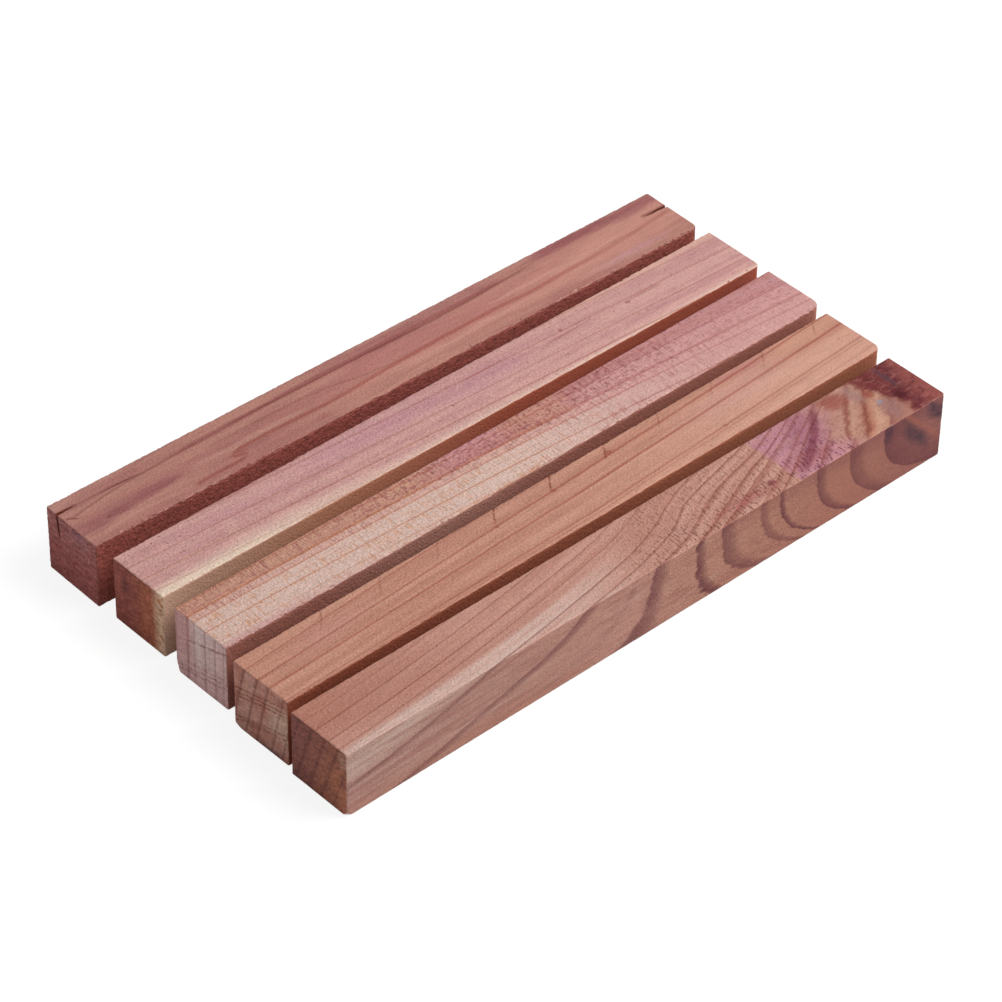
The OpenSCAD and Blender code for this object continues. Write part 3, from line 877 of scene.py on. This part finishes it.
def knotty_heartwood(place):
    """The front block: rings that sweep round a knot at the right end, with a mauve patch before it."""
    g = Grain("knotty_heartwood", place, seed=50)
    u, v, w = g.along, g.across, g.deep
    reach = (u - 190) / 30
    pull = (-(reach * reach)).math("EXPONENT") * 12
    lean = u.fade(112, 40) * 0.36
    curl = ((u - 108) * 0.0000165).above(0.0).below(0.00098)
    hump = course(u, ((95, 0), (110, 1.8), (118, 3.8), (126, 4.7), (137, 4.4), (147, 3.4), (165, 2),
                      (190, 0)))
    hump = hump * ((19.9 - v) / 12).above(0.0).below(1.0)
    ragged = (noise(g.spot(0.2, 0.9, 0.9), 80, 3.0, 0.7) - 0.5) * u.fade(80, 110) * 0.8 * g.side
    g.grow(v + u * 0.05 + u * u * 0.0007 + pull + lean * w - curl * w * w * w + hump + ragged, 0.3)
    lines = g.lines(((4.4, 0.5, 0.4), (8.5, 0.5, 0.8), (13.3, 0.5, 0.8), (17.0, 0.5, 0.6), (18.5, 0.4, 0.3),
                     (23.6, 0.6, 0.9), (27.7, 0.7, 1.0), (30.2, 0.4, 0.25), (31.5, 0.9, 0.9),
                     (34.4, 0.7, 1.0), (36.3, 1.3, 0.8), (39.7, 0.9, 0.7), (41.8, 0.7, 1.0),
                     (47.0, 2.0, 0.9), (53.6, 3.8, 0.8), (61.2, 7.0, 1.0)))
    grain = 1.0 + g.fibres() * 0.4 + g.fuzz() * 0.9 + g.mottle(75) * 0.3

    top = g.streaked(paint(194, 147, 133), paint(181, 130, 115))
    top = stain(top, u.fade(60, 0) * v.fade(17, 8) * 0.8, 170, 114, 97)
    pale = (v - course(u, ((0, 18.5), (40, 16.2), (60, 14.4), (75, 12.6), (100, 8)))).fade(-1.5, 1.0)
    pale = pale * u.fade(106, 70) * (0.7 + g.streaks(56, 0.02, 0.5) * 2.4)
    top = stain(top, pale.below(1.0).above(0.0) * 0.9, 206, 177, 166)
    grooves = noise(g.spot(1.5, 0.45, 0.4), 57, 2.0, 0.6).fade(0.52, 0.68) * u.between(97, 172, 14) * g.top
    grooves = grooves * (0.6 + v.fade(8, 17) * 0.6)
    top = stain(top, grooves * 0.5, 142, 74, 64)
    border = u + (noise(g.spot(0.3, 1.2, 0.3), 58, 2.0) - 0.5) * 1.6
    mauve = border.fade(147.9, 148.7) * u.fade(176, 162) * (0.8 + g.mottle(59, 0.5) * 2.2)
    top = stain(top, mauve.below(1.0).above(0.0) * g.top, 184, 128, 141)
    bruised = grooves * border.fade(147.9, 149.5) * (0.35 + v.fade(9, 16) * 0.9)
    top = stain(top, bruised, 140, 74, 90)
    deep_mauve = g.patch(162, 7.5, 9, 9, -0.6) * border.fade(149, 156)
    top = stain(top, deep_mauve * 0.45, 138, 76, 92)
    faint = u.fade(182, 166) * (0.75 - u.fade(60, 110) * 0.2 + u.fade(110, 135) * 0.1)
    top = stain(top, lines * faint, 128, 62, 52)
    reddish = g.patch(134, 16.3, 14, 2.4).above(g.patch(156, 15.4, 10, 3.4) * 0.8)
    top = stain(top, reddish * 0.5, 156, 84, 82)
    dots = g.patch(142, 15.4, 1.6, 1.4).above(g.patch(137, 15.4, 1.0, 0.7) * 0.6)
    top = stain(top, dots * 0.75, 118, 54, 58)
    streak = g.stroke(((149, 18.6), (158, 13.4), (164, 8.7), (168, 4.7), (173.5, -0.4)), 2.4, 6.0)
    top = stain(top, streak * (0.75 + g.mottle(60, 0.6) * 1.4), 120, 56, 70)

    turn = g.mottle(62, 0.2) * 6
    sweep = u + v * 0.97 - v * v * 0.003 + turn
    knot = tones(sweep, (
        (176, paint(178, 124, 126)), (179, paint(184, 134, 122)), (182.4, paint(186, 138, 124)),
        (183.8, paint(148, 88, 76)), (185.5, paint(190, 145, 126)), (188.4, paint(182, 132, 114)),
        (190.2, paint(134, 72, 60)), (191.8, paint(180, 122, 100)), (194.5, paint(196, 150, 128)),
        (198, paint(182, 134, 114)), (198.8, paint(142, 88, 78)), (200.4, paint(160, 108, 98)),
        (206, paint(170, 120, 104)),
    ))
    knot = stain(knot, g.mottle(61, 0.5).fade(-0.04, 0.16) * 0.5, 150, 92, 82)
    top = mix(sweep.fade(175, 179) * (u - v.fade(13, 19) * 8).fade(160, 168) * g.top, top, knot)
    burnt = g.patch(176, 3.2, 5.0, 4.4).above(g.patch(185.2, 7.4, 2.0, 1.8))
    top = stain(top, burnt * 0.75, 146, 74, 62)
    veil = g.patch(182, 5.0, 2.4, 6.0)
    top = stain(top, veil * (0.5 + g.mottle(63, 0.8) * 2.0), 160, 126, 120)
    heart = g.patch(185.4, 15.0, 3.6, 5.6)
    top = stain(top, heart * 0.85, 150, 108, 102)
    top = stain(top, g.patch(185.0, 11.2, 1.2, 1.0) * 0.7, 150, 146, 160)
    rim = course(v, ((0, 184), (5, 185.5), (10, 187.5), (14.5, 189.5), (20, 189)))
    inside = (u + g.mottle(68, 0.4) * 8 - rim).fade(-1.6, 1.2) * g.top
    core = tones(u + v * 0.15 + g.mottle(69, 0.25) * 10, (
        (184, paint(126, 66, 62)), (189, paint(110, 48, 48)), (193, paint(118, 56, 56)),
        (195, paint(100, 46, 50)), (198.5, paint(136, 72, 68)), (203, paint(142, 78, 73)),
    ))
    core = stain(core, g.mottle(70, 0.7).fade(-0.02, 0.14) * 0.6, 156, 96, 90)
    core = stain(core, g.mottle(81, 0.5).fade(0.02, 0.14) * 0.7, 80, 34, 38)
    core = stain(core, g.patch(191, 12.5, 2.8, 3.0) * 0.9, 78, 28, 34)
    core = stain(core, g.patch(193.2, 5.5, 1.2, 6.0) * 0.7, 86, 60, 68)
    top = mix(inside, top, core)
    top = shade(top, grain - u.fade(160, 176) * v.fade(18, 10) * 0.07)

    side = tones(u, (
        (0, paint(176, 138, 127)), (50, paint(168, 125, 112)), (90, paint(174, 129, 115)),
        (125, paint(168, 120, 102)), (165, paint(156, 103, 88)), (200, paint(134, 84, 79)),
    ))
    sapwood = (g.ring - 23.4).fade(0.3, -1.4) * (0.85 + g.streaks(79, 0.02, 0.6))
    side = stain(side, sapwood, 186, 156, 143)
    side = stain(side, g.streaks(63, 0.02, 0.5).fade(-0.04, 0.14) * 0.55, 150, 100, 90)
    light = g.streaks(78, 0.012, 0.35).fade(0.04, 0.2) * 0.5 * u.fade(150, 90)
    side = stain(side, light, 182, 146, 132)
    side = stain(side, w.fade(13, 19) * u.fade(100, 40) * 0.5, 164, 112, 95)
    side = stain(side, u.fade(90, 180) * w.fade(7, 0) * 0.5, 116, 68, 68)
    side = stain(side, lines * (0.6 + u.fade(60, 110) * 0.35), 106, 60, 62)
    dark = strongest(
        (w - 9 - (u - 191) * 0.9).size().fade(4.4, 0.5) * (u - 190).size().fade(6.5, 2.0),
        (w - 4 - (u - 197) * 0.6).size().fade(3.8, 1.2) * u.fade(192.0, 196.0),
        (u + w * 0.1 - 180).size().fade(2.4, 0.6) * w.fade(8, 2) * 0.8,
    )
    side = stain(side, dark * (0.75 + g.mottle(72, 0.6) * 1.6), 66, 48, 58)
    glow = (w - 4.0 - (u - 190) * 1.0).size().fade(1.8, 0.2) * u.between(184, 199, 3)
    side = stain(side, glow * (0.4 + g.mottle(76, 0.5)), 160, 96, 80)
    side = shade(side, 1.0 + g.fibres() * 0.6 + g.fuzz(64, 1.2) * 0.5 + g.mottle(73) * 0.2)
    end = mix(v.fade(2, 17), paint(146, 91, 82), paint(168, 106, 82))
    end = stain(end, w.fade(9, 1) * 0.45, 124, 76, 68)
    end = stain(end, g.mottle(65, 0.35).fade(-0.04, 0.14) * 0.6, 124, 78, 78)
    end = stain(end, g.mottle(74, 0.5).fade(0.08, 0.2) * 0.5, 190, 116, 84)
    leaning = v + w * 0.33 + g.fuzz(66, 0.3)
    end = mix(bands(leaning, ((3.8, -1.2, 0.6), (8.4, -1.4, 0.8), (12.9, -1.2, 0.7), (17.4, -1.2, 0.8),
                              (21.6, -1.0, 0.6))) * 0.65, end, paint(88, 48, 50))
    end = stain(end, v.fade(16, 19) * w.between(1, 5, 2) * 0.6, 190, 148, 126)
    tears = v.fade(18.2, 19.6) * noise(g.spot(0.1, 0.4, 0.7), 67, 2.0).fade(0.5, 0.6)
    end = stain(end, tears * 0.7, 120, 50, 40)
    end = shade(end, 1.01 + g.fuzz(71, 1.0) * 1.2 + g.sawn_stripes(0.3) * 1.9 + g.mottle(82, 0.8) * 0.6)
    rough = 0.28 + u.between(97, 156, 12) * 0.2
    height = g.fibres() * 0.06 + g.fuzz() * rough - grooves * 0.28 - lines * 0.08 * g.top
    height = height + g.end * g.sawn_stripes(0.3) * 0.45
    return g.finish(top, side, end, height)


# The studio

# The camera's angles in degrees, the point that it looks at and its distance in metres,
# fitted to the corners of the blocks
CAMERA_AZIMUTH, CAMERA_ELEVATION, CAMERA_ROLL = -43.025, 40.084, 0.912
CAMERA_AIM = Vector((0.77, 4.37, 0.2)) * MM
CAMERA_DISTANCE = 1.1154
# Both in millimetres
LENS, SENSOR = 159.4, 36.0
# A large soft box in front of the row and above it: its place and width in metres, and its watts
KEY_PLACE, KEY_WIDTH, KEY_POWER = (0.45, -0.5, 0.95), 0.7, 13.0
# How bright the walls of the studio light the row
WORLD_LIGHT = 0.3
# Half the floor's width in metres, and how far it lies under the row
FLOOR_HALF, FLOOR_DROP = 3.0, 0.1 * MM
# How much of the floor's white comes from the lamps, and so shows the shadow, and how much glows
SHADOW_SHARE, FLOOR_GLOW = 0.18, 0.87


def make_camera():
    data = bpy.data.cameras.new("camera")
    data.lens = LENS
    data.sensor_width = SENSOR
    data.clip_start, data.clip_end = 0.05, 20.0
    camera = bpy.data.objects.new("camera", data)
    azimuth, elevation = math.radians(CAMERA_AZIMUTH), math.radians(CAMERA_ELEVATION)
    back = Vector((
        math.sin(azimuth) * math.cos(elevation),
        -math.cos(azimuth) * math.cos(elevation),
        math.sin(elevation),
    ))
    camera.location = CAMERA_AIM + back * CAMERA_DISTANCE
    camera.rotation_mode = "QUATERNION"
    roll = Quaternion((0, 0, 1), math.radians(CAMERA_ROLL))
    camera.rotation_quaternion = (-back).to_track_quat("-Z", "Y") @ roll
    bpy.context.scene.collection.objects.link(camera)
    bpy.context.scene.camera = camera


def make_lamp():
    """A square soft box that looks at the middle of the row."""
    data = bpy.data.lights.new("key_lamp", "AREA")
    data.shape = "SQUARE"
    data.size = KEY_WIDTH
    data.energy = KEY_POWER
    lamp = bpy.data.objects.new("key_lamp", data)
    lamp.location = KEY_PLACE
    lamp.rotation_mode = "QUATERNION"
    lamp.rotation_quaternion = (-Vector(KEY_PLACE)).to_track_quat("-Z", "Y")
    bpy.context.scene.collection.objects.link(lamp)


def show(tree, lighting, seen, output_kind):
    """Closes a node tree: one shader lights the row, and another is what the camera sees."""
    path = tree.nodes.new("ShaderNodeLightPath").outputs
    rays = ("Is Camera Ray", "Is Glossy Ray", "Is Transmission Ray")
    choice = tree.nodes.new("ShaderNodeMixShader")
    feed(tree, choice.inputs[0], strongest(*[Field(tree, path[name]) for name in rays]))
    tree.links.new(lighting, choice.inputs[1])
    tree.links.new(seen, choice.inputs[2])
    output = tree.nodes.new(output_kind)
    tree.links.new(choice.outputs[0], output.inputs["Surface"])


def make_world():
    world = bpy.data.worlds.new("studio")
    bpy.context.scene.world = world
    world.use_nodes = True
    tree = world.node_tree
    tree.nodes.clear()
    shaders = []
    for strength in (WORLD_LIGHT, 1.0):
        node = tree.nodes.new("ShaderNodeBackground")
        node.inputs["Color"].default_value = (1, 1, 1, 1)
        node.inputs["Strength"].default_value = strength
        shaders.append(node.outputs[0])
    show(tree, *shaders, "ShaderNodeOutputWorld")


def make_floor():
    """A white floor that keeps a soft shadow of the row."""
    mesh = bpy.data.meshes.new("floor")
    corners = [(-1, -1), (1, -1), (1, 1), (-1, 1)]
    mesh.from_pydata([(x * FLOOR_HALF, y * FLOOR_HALF, -FLOOR_DROP) for x, y in corners], [], [(0, 1, 2, 3)])
    floor = bpy.data.objects.new("floor", mesh)
    bpy.context.scene.collection.objects.link(floor)
    material = bpy.data.materials.new("white_floor")
    material.use_nodes = True
    tree = material.node_tree
    tree.nodes.clear()
    lit = tree.nodes.new("ShaderNodeBsdfDiffuse")
    lit.inputs["Color"].default_value = (0.95, 0.95, 0.95, 1)
    shadowed = tree.nodes.new("ShaderNodeBsdfDiffuse")
    shadowed.inputs["Color"].default_value = (SHADOW_SHARE,) * 3 + (1,)
    glow = tree.nodes.new("ShaderNodeEmission")
    glow.inputs["Strength"].default_value = FLOOR_GLOW
    both = tree.nodes.new("ShaderNodeAddShader")
    tree.links.new(shadowed.outputs[0], both.inputs[0])
    tree.links.new(glow.outputs[0], both.inputs[1])
    show(tree, lit.outputs[0], both.outputs[0], "ShaderNodeOutputMaterial")
    mesh.materials.append(material)


# The row

make_camera()
make_world()
make_floor()
make_lamp()

shape = block_tree()
ROW = {
    "back_block": ("back", dusty_heartwood, {
        "Right front radius": 2.2, "Left back radius": 0.7, "Torn front": 0.5, "Torn back": 0.15,
        "Rough sides": 0.25, "Cracked": True,
        "Left crack": (5.0, 1.0, 7.5), "Left crack inset": 4.4,
        "Right crack": (7.5, 1.1, 6.0), "Right crack inset": 7.6,
    }),
    "rear_middle_block": ("rear_middle", pink_heartwood, {
        "Right front radius": 1.8, "Torn front": 0.1, "Torn back": 0.25, "Rough sides": 0.08,
    }),
    "middle_block": ("middle", striped_sapwood, {
        "Right front radius": 3.0, "Torn front": 0.5, "Torn back": 0.1, "Rough sides": 0.08,
        "Toe": (2.0, 1.3, 4.0), "Toe side": 1.0,
    }),
    "front_middle_block": ("front_middle", tan_heartwood, {
        "Right front radius": 2.5, "Left back radius": 0.5, "Torn front": 0.25, "Torn back": 0.25,
        "Rough sides": 0.1, "Toe": (2.0, 3.0, 1.2), "Toe side": 1.0,
    }),
    "front_block": ("front", knotty_heartwood, {
        "Right front radius": 0.8, "Torn front": 0.12, "Torn back": 0.15, "Rough sides": 0.05,
        "Toe": (1.8, 1.6, 1.8), "Toe side": -1.0,
    }),
}
PLAIN = {"Right front radius": 0.0, "Left back radius": 0.0, "Toe": (0.1, 0.1, 0.1), "Toe side": 1.0}
for number, (node, (body, wood, details)) in enumerate(ROW.items()):
    place = Place(node)
    make_block(shape, node, body, wood(place), place, Seed=10.0 * number, **{**PLAIN, **details})

bpy.context.scene.view_settings.view_transform = "Standard"
